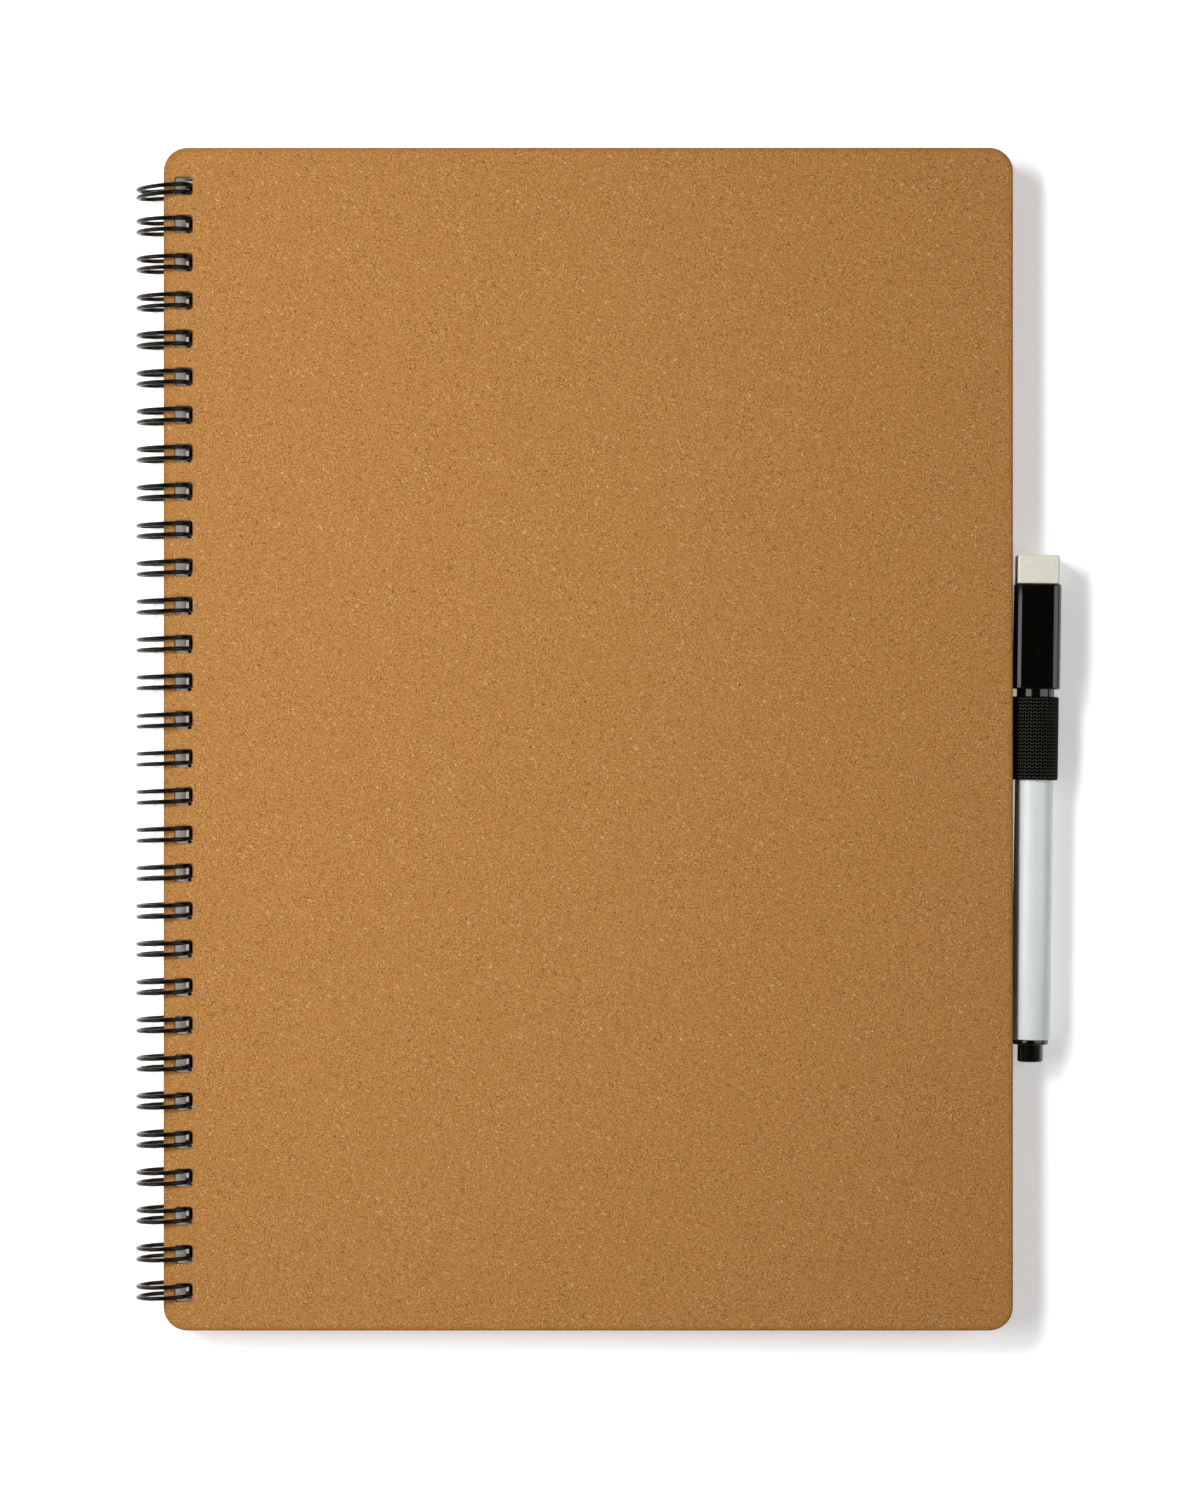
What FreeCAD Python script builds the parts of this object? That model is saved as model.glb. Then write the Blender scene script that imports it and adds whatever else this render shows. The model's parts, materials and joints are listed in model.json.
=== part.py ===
import FreeCAD, Part

# A wire-bound book with a marker held in an elastic loop, as one assembly.
#
# The book lies closed on a table. +X runs from the binding to the fore-edge, +Y runs up
# the page and +Z points up from the table. The origin is on the table, under the middle
# of the assembly's box. The wire's rings are centred on one line along Y, which is the
# turning axis of the front cover and of every leaf.

import math
import os

import Sketcher
from FreeCAD import Placement, Rotation, Vector

DOC = FreeCAD.newDocument("wire_bound_book")

# Driving dimensions in millimetres and degrees.
SIZES = {
    # binding, three holes to the inch
    "hole_pitch": 8.4667,
    "hole_count": 30,
    "hole_across": 3.95,
    "hole_along": 4.0,
    "hole_corner": 0.7,
    "hole_margin": 2.5,
    "ring_outer": 12.7,
    "wire_size": 0.95,
    "strand_spacing": 2.42,
    "bend_radius": 0.9,
    "spine_angle": -31.5,
    "tip_angle": 1.2,
    # covers
    "cover_start": 0.15,
    "cover_width": 188.5,
    "cover_length": 262.5,
    "cover_board": 1.6,
    "cover_corner": 5.3,
    "book_stack": 8.9,
    "spine_space": 1.15,
    # leaves
    "leaf_count": 24,
    "leaf_width": 182.0,
    "leaf_length": 257.0,
    "leaf_sheet": 0.165,
    "leaf_step": 0.19,
    "leaf_corner": 5.0,
    "leaf_slack": 1.1,
    "leaf_lag": 0.42,
    # elastic loop and its paper patch
    "loop_outer": 5.25,
    "loop_inner": 4.4,
    "loop_start": 62.8,
    "loop_width": 18.6,
    "strap_sheet": 0.85,
    "strap_tail": 15.0,
    "strap_overlap": 3.6,
    "patch_width": 17.0,
    "patch_length": 30.0,
    "patch_sheet": 0.2,
    "patch_room": 0.3,
    # where the marker lies, beside the fore-edge
    "pen_beside": 5.25,
    "pen_height": 5.7,
    "pen_lean": 0.85,
    "pen_tail": 71.9,
    "pen_lean_reach": 0.51,
    # marker, measured along its axis from the tail end
    "plug_face": 2.35,
    "plug_edge": 0.5,
    "plug_radius": 2.85,
    "flange_start": 3.9,
    "flange_radius": 3.95,
    "barrel_start": 5.0,
    "barrel_end": 80.1,
    "barrel_tail_radius": 4.4,
    "barrel_nose_radius": 4.25,
    "barrel_bore": 3.2,
    "spigot_radius": 3.18,
    "plug_spigot_end": 13.0,
    "spigot_start": 71.0,
    "collar_radius": 4.2,
    "collar_end": 88.0,
    "cone_foot": 3.3,
    "cone_end": 97.0,
    "cone_nose": 1.9,
    "nib_radius": 1.15,
    "nib_bore": 1.17,
    "nib_start": 66.0,
    "nib_shoulder": 100.3,
    "nib_end": 101.3,
    "nib_point": 0.45,
    "reservoir_radius": 2.95,
    "reservoir_start": 14.0,
    "reservoir_end": 70.0,
    "reservoir_seat": 65.0,
    # cap and felt eraser
    "cap_width": 10.4,
    "cap_corner": 2.1,
    "cap_start": 83.0,
    "cap_end": 106.5,
    "cap_edge": 0.35,
    "mouth_bore": 4.27,
    "mouth_depth": 8.0,
    "inner_bore": 3.6,
    "inner_depth": 21.8,
    "stud_width": 5.6,
    "stud_corner": 0.6,
    "stud_length": 2.6,
    "socket_width": 5.66,
    "socket_depth": 2.7,
    "felt_width": 9.3,
    "felt_corner": 0.5,
    "felt_end": 112.9,
}


def make_sheet():
    """The spreadsheet of driving dimensions: a name and its number in each row."""
    sheet = DOC.addObject("Spreadsheet::Sheet", "Sizes")
    for row, (alias, number) in enumerate(SIZES.items(), start=1):
        sheet.set(f"A{row}", alias)
        sheet.set(f"B{row}", str(number))
        sheet.setAlias(f"B{row}", alias)
    DOC.recompute()
    return sheet


SHEET = make_sheet()


def size(alias):
    """The number that the sheet holds for a driving dimension."""
    return float(SHEET.get(alias))


def cell(alias):
    """How a formula reads that dimension from the sheet."""
    return f"Sizes.{alias}"


# Places that several pieces share, as formulas of the sheet's cells and as numbers.
COVER_END = f"({cell('cover_start')} + {cell('cover_width')})"
RING_RADIUS = f"(({cell('ring_outer')} - {cell('wire_size')}) / 2)"
AXIS_Z = f"({cell('ring_outer')} / 2)"
PEN_REACH = f"({cell('pen_beside')} + {cell('pen_lean_reach')} + {cell('cap_width')} / 2)"
AXIS_X = f"(({cell('ring_outer')} / 2 - {COVER_END} - {PEN_REACH}) / 2)"

ring_radius = (size("ring_outer") - size("wire_size")) / 2
axis_z = size("ring_outer") / 2
cover_end = size("cover_start") + size("cover_width")
pen_reach = size("pen_beside") + size("pen_lean_reach") + size("cap_width") / 2
axis_x = (size("ring_outer") / 2 - cover_end - pen_reach) / 2


# ---------------------------------------------------------------- sketches and features


def new_body(name):
    body = DOC.addObject("PartDesign::Body", name)
    body.Label = name
    return body


def new_sketch(body, name, role="XY_Plane"):
    """A sketch on one of the body's own origin planes."""
    sketch = body.newObject("Sketcher::SketchObject", f"{body.Name}_{name}")
    plane = next(p for p in body.Origin.OriginFeatures if p.Role == role)
    sketch.AttachmentSupport = [(plane, "")]
    sketch.MapMode = "FlatFace"
    return sketch


def dimension(sketch, constraint, name, formula):
    """Adds a named dimension to a sketch and binds it to the sheet."""
    index = sketch.addConstraint(constraint)
    sketch.renameConstraint(index, name)
    sketch.setExpression(f"Constraints.{name}", formula)


def rounded_rectangle(sketch, width, length, corner):
    """A rectangle centred on the sketch's origin, with an arc at each corner."""
    half_w = size(width) / 2
    half_l = size(length) / 2
    radius = size(corner)
    in_w = half_w - radius
    in_l = half_l - radius
    centres = [(in_w, in_l), (-in_w, in_l), (-in_w, -in_l), (in_w, -in_l)]
    for turn, (x, y) in enumerate(centres):
        circle = Part.Circle(Vector(x, y, 0), Vector(0, 0, 1), radius)
        start = turn * math.pi / 2
        sketch.addGeometry(Part.ArcOfCircle(circle, start, start + math.pi / 2), False)
    sides = [
        (Vector(in_w, half_l, 0), Vector(-in_w, half_l, 0)),
        (Vector(-half_w, in_l, 0), Vector(-half_w, -in_l, 0)),
        (Vector(-in_w, -half_l, 0), Vector(in_w, -half_l, 0)),
        (Vector(half_w, -in_l, 0), Vector(half_w, in_l, 0)),
    ]
    for begin, end in sides:
        sketch.addGeometry(Part.LineSegment(begin, end), False)
    top, left, bottom, right = 4, 5, 6, 7
    around = [(0, right, top), (1, top, left), (2, left, bottom), (3, bottom, right)]
    for arc, before, after in around:
        sketch.addConstraint(Sketcher.Constraint("Tangent", before, 2, arc, 1))
        sketch.addConstraint(Sketcher.Constraint("Tangent", arc, 2, after, 1))
    for arc in (1, 2, 3):
        sketch.addConstraint(Sketcher.Constraint("Equal", 0, arc))
    sketch.addConstraint(Sketcher.Constraint("Horizontal", top))
    sketch.addConstraint(Sketcher.Constraint("Vertical", right))
    sketch.addConstraint(Sketcher.Constraint("Symmetric", top, 1, bottom, 1, -1, 1))
    dimension(sketch, Sketcher.Constraint("Radius", 0, radius), "corner", cell(corner))
    wide = Sketcher.Constraint("DistanceX", left, 1, right, 2, 2 * half_w)
    dimension(sketch, wide, "wide", cell(width))
    high = Sketcher.Constraint("DistanceY", bottom, 2, top, 1, 2 * half_l)
    dimension(sketch, high, "high", cell(length))


def circle(sketch, radius):
    """A circle centred on the sketch's origin."""
    sketch.addGeometry(Part.Circle(Vector(0, 0, 0), Vector(0, 0, 1), size(radius)), False)
    sketch.addConstraint(Sketcher.Constraint("Coincident", 0, 3, -1, 1))
    dimension(sketch, Sketcher.Constraint("Radius", 0, size(radius)), "radius", cell(radius))


def pad(body, sketch, name, length):
    """A pad whose length is a formula."""
    feature = body.newObject("PartDesign::Pad", f"{body.Name}_{name}")
    feature.Profile = sketch
    feature.setExpression("Length", length)
    return feature


def pocket(body, sketch, name, length=None):
    """A pocket along the sketch's normal, through everything where no length is given."""
    feature = body.newObject("PartDesign::Pocket", f"{body.Name}_{name}")
    feature.Profile = sketch
    feature.Reversed = True
    if length is None:
        feature.Type = "ThroughAll"
    else:
        feature.setExpression("Length", length)
    return feature


def offset(sketch, **places):
    """Moves a sketch from its plane's origin by formulas for x, y and z."""
    for axis, formula in places.items():
        sketch.setExpression(f"AttachmentOffset.Base.{axis}", formula)


def place(piece, **places):
    """Moves a piece to its place in the assembly by formulas for x, y and z."""
    for axis, formula in places.items():
        piece.setExpression(f"Placement.Base.{axis}", formula)


# ---------------------------------------------------------------- covers and leaves


def punched_sheet(name, width, length, thickness, corner):
    """A flat sheet with rounded corners and a row of binding holes beside its left edge."""
    body = new_body(name)
    outline = new_sketch(body, "outline")
    rounded_rectangle(outline, width, length, corner)
    pad(body, outline, "sheet", cell(thickness))
    hole = new_sketch(body, "hole")
    rounded_rectangle(hole, "hole_across", "hole_along", "hole_corner")
    hole_x = f"{cell('hole_margin')} + {cell('hole_across')} / 2 - {cell(width)} / 2"
    row_length = f"{cell('hole_pitch')} * ({cell('hole_count')} - 1)"
    offset(hole, x=hole_x, y=f"-({row_length}) / 2")
    punch = pocket(body, hole, "punch")
    row = body.newObject("PartDesign::LinearPattern", f"{name}_hole_row")
    row.Originals = [punch]
    row.Direction = (hole, ["V_Axis"])
    row.setExpression("Length", row_length)
    row.setExpression("Occurrences", cell("hole_count"))
    body.Tip = row
    return body


def make_cover(name, base):
    """A cover board whose lower face is at the height that the formula gives."""
    body = punched_sheet(name, "cover_width", "cover_length", "cover_board", "cover_corner")
    place(body, x=f"{AXIS_X} + {cell('cover_start')} + {cell('cover_width')} / 2", z=base)
    return body


def make_leaf(number):
    """One leaf. Leaf 1 is the top one. Each leaf lies where the round wire lets it, and those
    above the rings' axis lag behind towards the binding."""
    body = punched_sheet(f"leaf_{number:02d}", "leaf_width", "leaf_length", "leaf_sheet", "leaf_corner")
    lift = (
        f"({cell('cover_board')} + {cell('spine_space')} - {cell('book_stack')} / 2"
        f" + ({cell('leaf_count')} - {number}) * {cell('leaf_step')})"
    )
    middle = f"({lift} + {cell('leaf_sheet')} / 2)"
    wire_x = f"sqrt({RING_RADIUS} ^ 2 - {middle} ^ 2)"
    lag = f"{cell('leaf_lag')} * (abs({middle}) + {middle}) / 2"
    left = f"{wire_x} - {cell('leaf_slack')} - {lag} - {cell('hole_margin')}"
    place(body, x=f"{AXIS_X} + {left} + {cell('leaf_width')} / 2", z=f"{AXIS_Z} + {lift}")
    return body


# ---------------------------------------------------------------- wire


def ring_point(angle, radius=ring_radius):
    """The point of a ring at an angle in degrees, from +X towards +Z, and its direction on."""
    turn = math.radians(angle)
    point = Vector(axis_x + radius * math.cos(turn), 0, axis_z + radius * math.sin(turn))
    onward = Vector(math.sin(turn), 0, -math.cos(turn))
    return point, onward


def bent_wire(centre, arm, toward, radius, turn):
    """Wire bent round a centre, from the direction of arm towards a second direction."""
    piece = Part.makeTorus(radius, size("wire_size") / 2, Vector(), Vector(0, 0, 1), 0, 360, turn)
    piece.Placement = Placement(centre, Rotation(arm, toward, arm.cross(toward), "ZXY"))
    return piece


def double_loop(middle_y):
    """Two strands that run clockwise round the rings from the spine and join in a U at the
    tip, each with the quarter bend that leads it in from the spine."""
    bend = size("bend_radius")
    half_gap = size("strand_spacing") / 2
    spine, onward = ring_point(size("spine_angle"))
    tip, tip_onward = ring_point(size("tip_angle"))
    axis_point = Vector(axis_x, 0, axis_z)
    turn = 360 - size("tip_angle") + size("spine_angle")
    along = Vector(0, 1, 0)
    pieces = []
    for side in (-1, 1):
        strand = along * (middle_y + side * half_gap)
        arm = (spine - axis_point).normalize()
        pieces.append(bent_wire(axis_point + strand, arm, onward, ring_radius, turn))
        corner = spine + strand + along * (side * bend)
        pieces.append(bent_wire(corner, along * -side, onward * -1, bend, 90))
    pieces.append(bent_wire(tip + along * middle_y, along * -1, tip_onward, half_gap, 180))
    return pieces


def spine_bar(middle_y):
    """The straight wire between two double loops, centred between them."""
    spine, onward = ring_point(size("spine_angle"))
    length = size("hole_pitch") - size("strand_spacing") - 2 * size("bend_radius")
    start = spine - onward * size("bend_radius") + Vector(0, middle_y - length / 2, 0)
    return Part.makeCylinder(size("wire_size") / 2, length, start, Vector(0, 1, 0))


def make_wire():
    """The whole binding wire, one length bent into double loops joined by spine bars."""
    count = int(size("hole_count"))
    pitch = size("hole_pitch")
    first_y = -(count - 1) / 2 * pitch
    pieces = []
    for index in range(count):
        pieces += double_loop(first_y + index * pitch)
        if index:
            pieces.append(spine_bar(first_y + (index - 0.5) * pitch))
    feature = DOC.addObject("Part::Feature", "wire_binding")
    feature.Label = "wire_binding"
    feature.Shape = pieces[0].multiFuse(pieces[1:])
    return feature


# ---------------------------------------------------------------- marker


def pen_placement():
    """The marker's own frame: Z along its axis from the tail end, Y down to the table."""
    lean = math.radians(size("pen_lean"))
    turn = Rotation(Vector(0, 0, 1), -size("pen_lean")) * Rotation(Vector(1, 0, 0), -90)
    tail = size("pen_tail")
    middle = Vector(axis_x + cover_end + size("pen_beside"), 0, size("pen_height"))
    base = middle - Vector(math.sin(lean), math.cos(lean), 0) * tail
    return Placement(base, turn)


def place_on_pen(piece):
    piece.Placement = pen_placement()
    return piece


def turned(name, corners):
    """A solid turned about the marker's axis. Each corner of its half section is a pair of
    cells, a radius and a station along the axis. None stands for zero."""
    body = new_body(name)
    sketch = new_sketch(body, "half_section", "XZ_Plane")
    points = [Vector(size(r) if r else 0, size(s) if s else 0, 0) for r, s in corners]
    count = len(points)
    for index in range(count):
        line = Part.LineSegment(points[index], points[(index + 1) % count])
        sketch.addGeometry(line, False)
    for index, (radius, station) in enumerate(corners):
        before = (index - 1) % count
        sketch.addConstraint(Sketcher.Constraint("Coincident", before, 2, index, 1))
        if radius:
            out = Sketcher.Constraint("DistanceX", -1, 1, index, 1, points[index].x)
            dimension(sketch, out, f"radius{index}", cell(radius))
        else:
            sketch.addConstraint(Sketcher.Constraint("PointOnObject", index, 1, -2))
        if station:
            up = Sketcher.Constraint("DistanceY", -1, 1, index, 1, points[index].y)
            dimension(sketch, up, f"station{index}", cell(station))
        else:
            sketch.addConstraint(Sketcher.Constraint("PointOnObject", index, 1, -1))
    spin = body.newObject("PartDesign::Revolution", f"{name}_turning")
    spin.Profile = sketch
    spin.ReferenceAxis = (sketch, ["V_Axis"])
    spin.Angle = 360
    return place_on_pen(body)


def make_plug():
    """The end plug: a short finger grip, a flange and the spigot pressed into the barrel."""
    return turned("end_plug", [
        (None, None),
        ("plug_face", None),
        ("plug_radius", "plug_edge"),
        ("plug_radius", "flange_start"),
        ("flange_radius", "flange_start"),
        ("flange_radius", "barrel_start"),
        ("spigot_radius", "barrel_start"),
        ("spigot_radius", "plug_spigot_end"),
        (None, "plug_spigot_end"),
    ])


def make_barrel():
    return turned("marker_barrel", [
        ("barrel_bore", "barrel_start"),
        ("barrel_tail_radius", "barrel_start"),
        ("barrel_nose_radius", "barrel_end"),
        ("barrel_bore", "barrel_end"),
    ])


def make_reservoir():
    """The ink-filled core, with a seat bored in its front end for the nib."""
    return turned("ink_reservoir", [
        (None, "reservoir_start"),
        ("reservoir_radius", "reservoir_start"),
        ("reservoir_radius", "reservoir_end"),
        ("nib_bore", "reservoir_end"),
        ("nib_bore", "reservoir_seat"),
        (None, "reservoir_seat"),
    ])


def make_section():
    """The nose: a spigot in the barrel, the collar that the cap grips, and a nib cone."""
    return turned("marker_section", [
        ("nib_bore", "spigot_start"),
        ("spigot_radius", "spigot_start"),
        ("spigot_radius", "barrel_end"),
        ("collar_radius", "barrel_end"),
        ("collar_radius", "collar_end"),
        ("cone_foot", "collar_end"),
        ("cone_nose", "cone_end"),
        ("nib_bore", "cone_end"),
    ])


def make_nib():
    return turned("marker_nib", [
        (None, "nib_start"),
        ("nib_radius", "nib_start"),
        ("nib_radius", "nib_shoulder"),
        ("nib_point", "nib_end"),
        (None, "nib_end"),
    ])


def make_cap():
    """A square cap with round edges, a stepped bore and a stud that holds the felt."""
    body = new_body("marker_cap")
    outline = new_sketch(body, "outline")
    rounded_rectangle(outline, "cap_width", "cap_width", "cap_corner")
    offset(outline, z=cell("cap_start"))
    pad(body, outline, "block", f"{cell('cap_end')} - {cell('cap_start')}")
    for name, bore, depth in (("mouth", "mouth_bore", "mouth_depth"), ("inner", "inner_bore", "inner_depth")):
        hole = new_sketch(body, name)
        circle(hole, bore)
        offset(hole, z=cell("cap_start"))
        pocket(body, hole, f"{name}_bore", cell(depth))
    DOC.recompute()
    base = body.Tip
    ends = (size("cap_start"), size("cap_end"))
    same = 0.01
    names = []
    for number, edge in enumerate(base.Shape.Edges, start=1):
        box = edge.BoundBox
        on_end = any(abs(box.ZMin - z) + abs(box.ZMax - z) < same for z in ends)
        reach = max(box.XMax, -box.XMin, box.YMax, -box.YMin)
        if on_end and reach > size("mouth_bore") + same:
            names.append(f"Edge{number}")
    edges = body.newObject("PartDesign::Chamfer", "marker_cap_edges")
    edges.Base = (base, names)
    edges.setExpression("Size", cell("cap_edge"))
    stud = new_sketch(body, "stud")
    rounded_rectangle(stud, "stud_width", "stud_width", "stud_corner")
    offset(stud, z=cell("cap_end"))
    pad(body, stud, "felt_stud", cell("stud_length"))
    return place_on_pen(body)


def make_felt():
    """The felt eraser block, with a socket that is glued over the cap's stud."""
    body = new_body("felt_eraser")
    outline = new_sketch(body, "outline")
    rounded_rectangle(outline, "felt_width", "felt_width", "felt_corner")
    offset(outline, z=cell("cap_end"))
    pad(body, outline, "block", f"{cell('felt_end')} - {cell('cap_end')}")
    socket = new_sketch(body, "socket")
    rounded_rectangle(socket, "socket_width", "socket_width", "stud_corner")
    offset(socket, z=cell("cap_end"))
    pocket(body, socket, "socket_pocket", cell("socket_depth"))
    return place_on_pen(body)


# ---------------------------------------------------------------- elastic loop


def block(name, start, reach):
    """A box in the marker's frame: its low corner and its three lengths, as formulas."""
    box = DOC.addObject("Part::Box", name)
    for axis, formula in zip("xyz", start):
        box.setExpression(f"Placement.Base.{axis}", formula)
    for side, formula in zip(("Length", "Width", "Height"), reach):
        box.setExpression(side, formula)
    return box


def rod(name, radius, start, length):
    """A cylinder on the marker's axis."""
    cylinder = DOC.addObject("Part::Cylinder", name)
    cylinder.setExpression("Radius", radius)
    cylinder.setExpression("Height", length)
    cylinder.setExpression("Placement.Base.z", start)
    return cylinder


def fused(name, pieces):
    fusion = DOC.addObject("Part::MultiFuse", name)
    fusion.Shapes = pieces
    return fusion


def less(name, base, tool):
    cut = DOC.addObject("Part::Cut", name)
    cut.Label = name
    cut.Base = base
    cut.Tool = tool
    return cut


# The strap's seat: how far below the marker's axis the back cover's inner face lies.
SEAT = f"({cell('pen_height')} - {AXIS_Z} + {cell('book_stack')} / 2 - {cell('cover_board')})"


def make_loop():
    """The elastic strap: a ring round the barrel whose two ends lie one on the other on the
    back cover's inner face, the lower one reaching further in."""
    start, width, sheet = cell("loop_start"), cell("loop_width"), cell("strap_sheet")
    lower_x = f"-{cell('pen_beside')} - {cell('strap_tail')}"
    upper_x = f"-{cell('pen_beside')} - {cell('strap_overlap')}"
    ring = rod("loop_ring", cell("loop_outer"), start, width)
    lower = block("strap_lower", (lower_x, f"{SEAT} - {sheet}", start), (f"-({lower_x})", sheet, width))
    upper = block("strap_upper", (upper_x, f"{SEAT} - 2 * {sheet}", start), (f"-({upper_x})", sheet, width))
    bore = rod("loop_bore", cell("loop_inner"), start, width)
    return place_on_pen(less("pen_loop", fused("strap", [ring, lower, upper]), bore))


def make_patch():
    """The paper patch glued over the strap's lower end: a raised middle and two flat wings."""
    sheet, strap, width = cell("patch_sheet"), cell("strap_sheet"), cell("patch_width")
    room = cell("patch_room")
    left = f"-{cell('pen_beside')} - {cell('strap_overlap')} - {room} - {width}"
    middle = f"({cell('loop_start')} + {cell('loop_width')} / 2)"
    tunnel = f"({cell('loop_width')} + 2 * {room})"
    hump = f"({tunnel} + 2 * {sheet})"
    wings_start = (left, f"{SEAT} - {sheet}", f"{middle} - {cell('patch_length')} / 2")
    wings = block("patch_wings", wings_start, (width, sheet, cell("patch_length")))
    raised_start = (left, f"{SEAT} - {strap} - {sheet}", f"{middle} - {hump} / 2")
    raised = block("patch_raised", raised_start, (width, f"{strap} + {sheet}", hump))
    space_x = f"-{cell('pen_beside')} - {cell('strap_tail')} - {room}"
    space_start = (space_x, f"{SEAT} - {strap}", f"{middle} - {tunnel} / 2")
    space = block("patch_space", space_start, (cell("strap_tail"), strap, tunnel))
    return place_on_pen(less("loop_patch", fused("patch", [wings, raised]), space))


# ---------------------------------------------------------------- assembly


def make_pieces():
    """Every piece of the assembly, from the table up and then the marker."""
    low = f"{AXIS_Z} - {cell('book_stack')} / 2"
    high = f"{AXIS_Z} + {cell('book_stack')} / 2 - {cell('cover_board')}"
    pieces = [make_cover("back_cover", low), make_cover("front_cover", high)]
    pieces += [make_leaf(number) for number in range(1, int(size("leaf_count")) + 1)]
    pieces += [make_wire(), make_loop(), make_patch()]
    pieces += [make_plug(), make_barrel(), make_reservoir(), make_section(), make_nib()]
    pieces += [make_cap(), make_felt()]
    return pieces


def check(pieces):
    """Stops unless every object of the document is sound and every piece is one good solid."""
    for item in DOC.Objects:
        if "Invalid" in item.State or "Error" in item.State:
            raise RuntimeError(f"{item.Label} failed: {item.State}")
    for piece in pieces:
        shape = piece.Shape
        if shape.isNull() or not shape.isValid() or len(shape.Solids) != 1:
            raise RuntimeError(f"{piece.Label} is not one sound solid")


def write(pieces):
    """Writes each piece to a file of its own name."""
    os.makedirs("parts", exist_ok=True)
    for piece in pieces:
        piece.Shape.exportStep(f"parts/{piece.Label}.step")
        box = piece.Shape.BoundBox
        print(f"{piece.Label}: volume {piece.Shape.Volume:.1f}, z {box.ZMin:.2f} to {box.ZMax:.2f}")


PIECES = make_pieces()
DOC.recompute()
check(PIECES)
write(PIECES)
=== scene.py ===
import json
import math

import bpy
import numpy as np
from bpy.props import FloatProperty, FloatVectorProperty, IntProperty, PointerProperty
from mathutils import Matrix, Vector
from mathutils.geometry import tessellate_polygon


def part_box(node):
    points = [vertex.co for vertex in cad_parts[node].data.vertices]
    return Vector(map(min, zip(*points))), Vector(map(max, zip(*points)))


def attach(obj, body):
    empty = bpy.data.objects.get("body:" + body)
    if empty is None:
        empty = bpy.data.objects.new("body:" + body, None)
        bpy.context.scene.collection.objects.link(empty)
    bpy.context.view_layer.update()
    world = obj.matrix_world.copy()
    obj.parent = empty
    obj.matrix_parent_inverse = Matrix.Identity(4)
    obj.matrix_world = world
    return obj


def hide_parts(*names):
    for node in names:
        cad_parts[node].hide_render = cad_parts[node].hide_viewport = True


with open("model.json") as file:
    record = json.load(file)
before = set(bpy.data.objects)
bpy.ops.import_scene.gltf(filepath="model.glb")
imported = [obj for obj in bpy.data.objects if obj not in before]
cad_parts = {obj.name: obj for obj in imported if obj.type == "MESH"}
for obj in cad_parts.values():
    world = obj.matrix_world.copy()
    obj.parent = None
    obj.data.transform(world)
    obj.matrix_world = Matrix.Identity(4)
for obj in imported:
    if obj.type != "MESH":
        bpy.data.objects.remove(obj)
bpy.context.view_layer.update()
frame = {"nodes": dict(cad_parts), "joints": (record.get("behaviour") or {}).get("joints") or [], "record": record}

bl_info = {
    "name": "Wire-bound book maker",
    "version": (1, 0, 0),
    "blender": (4, 5, 0),
    "location": "View3D > Sidebar > Book",
    "description": "Makes a kraft-covered wire-bound book with a marker in an elastic loop",
    "category": "Add Mesh",
}

MM = 0.001
MOUNTS = {mount["name"]: mount for mount in frame["record"]["mounts"]}
LEAVES = sorted(node for node in frame["nodes"] if node.startswith("leaf_"))

# The line that the rings are centred on, and their radius to the middle of the wire.
TURN = next(joint for joint in frame["joints"] if joint["name"] == "front_cover_turn")
RING_X, _, RING_Z = TURN["pos_m"]
RING_RADIUS = RING_X - MOUNTS["hanging_rings"]["pos_m"][0]

# The marker's axis, which runs through the middle of the felt's end face.
PEN_TIP = np.array(MOUNTS["eraser_face"]["pos_m"])
PEN_ALONG = np.array(MOUNTS["eraser_face"]["axis"])
PEN_ACROSS = np.array([PEN_ALONG[1], -PEN_ALONG[0], 0.0])
UP = np.array([0.0, 0.0, 1.0])


# ---------------------------------------------------------------- settings


def length(name, about, millimetres):
    """A length that a user may change."""
    settings = {"default": millimetres * MM, "unit": "LENGTH", "precision": 5}
    return FloatProperty(name=name, description=about, **settings)


def colour(name, about, red, green, blue):
    """A colour that a user may change, in linear light."""
    settings = {"default": (red, green, blue), "min": 0, "max": 1, "subtype": "COLOR"}
    return FloatVectorProperty(name=name, description=about, **settings)


def turn(name, about, degrees):
    """An angle that a user may change."""
    return FloatProperty(name=name, description=about, default=math.radians(degrees), unit="ROTATION")


def level(name, about, number):
    """A plain number from nought up that a user may change."""
    return FloatProperty(name=name, description=about, default=number, min=0)


class BoardSettings(bpy.types.PropertyGroup):
    """Cover boards and their punched holes."""

    hole_pitch: length("Hole pitch", "Distance from hole to hole, three to the inch", 25.4 / 3)
    hole_count: IntProperty(name="Holes", description="Holes in the row", default=30, min=2)
    hole_across: length("Hole width", "Size of a hole across the row", 3.95)
    hole_along: length("Hole length", "Size of a hole along the row", 4.0)
    hole_corner: length("Hole corner", "Radius of a hole's corners", 0.7)
    hole_margin: length("Hole margin", "From the board's edge to the holes", 2.5)
    hole_edge: length("Hole edge", "Radius of a hole's pressed rim", 0.16)
    corner: length("Corner", "Radius of the board's corners", 5.3)
    edge_run: length("Edge run", "How far in the pressed edge starts", 0.8)
    edge_drop: length("Edge drop", "How far the pressed edge falls", 0.32)
    flat_start: length("Flat start", "How far in the flat face starts", 1.3)
    kraft: colour("Kraft", "The board's middle tone", 0.335, 0.156, 0.0425)
    kraft_pale: colour("Pale pulp", "The pale grains in the board", 0.48, 0.25, 0.081)
    kraft_dark: colour("Dark pulp", "The dark grains in the board", 0.20, 0.072, 0.0125)
    pale_fibre: colour("Pale fibre", "Stray pale fibres", 0.68, 0.47, 0.25)
    dark_fibre: colour("Dark fibre", "Stray dark fibres", 0.085, 0.03, 0.008)
    fleck: colour("Fleck", "Specks of bark", 0.03, 0.012, 0.006)


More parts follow.
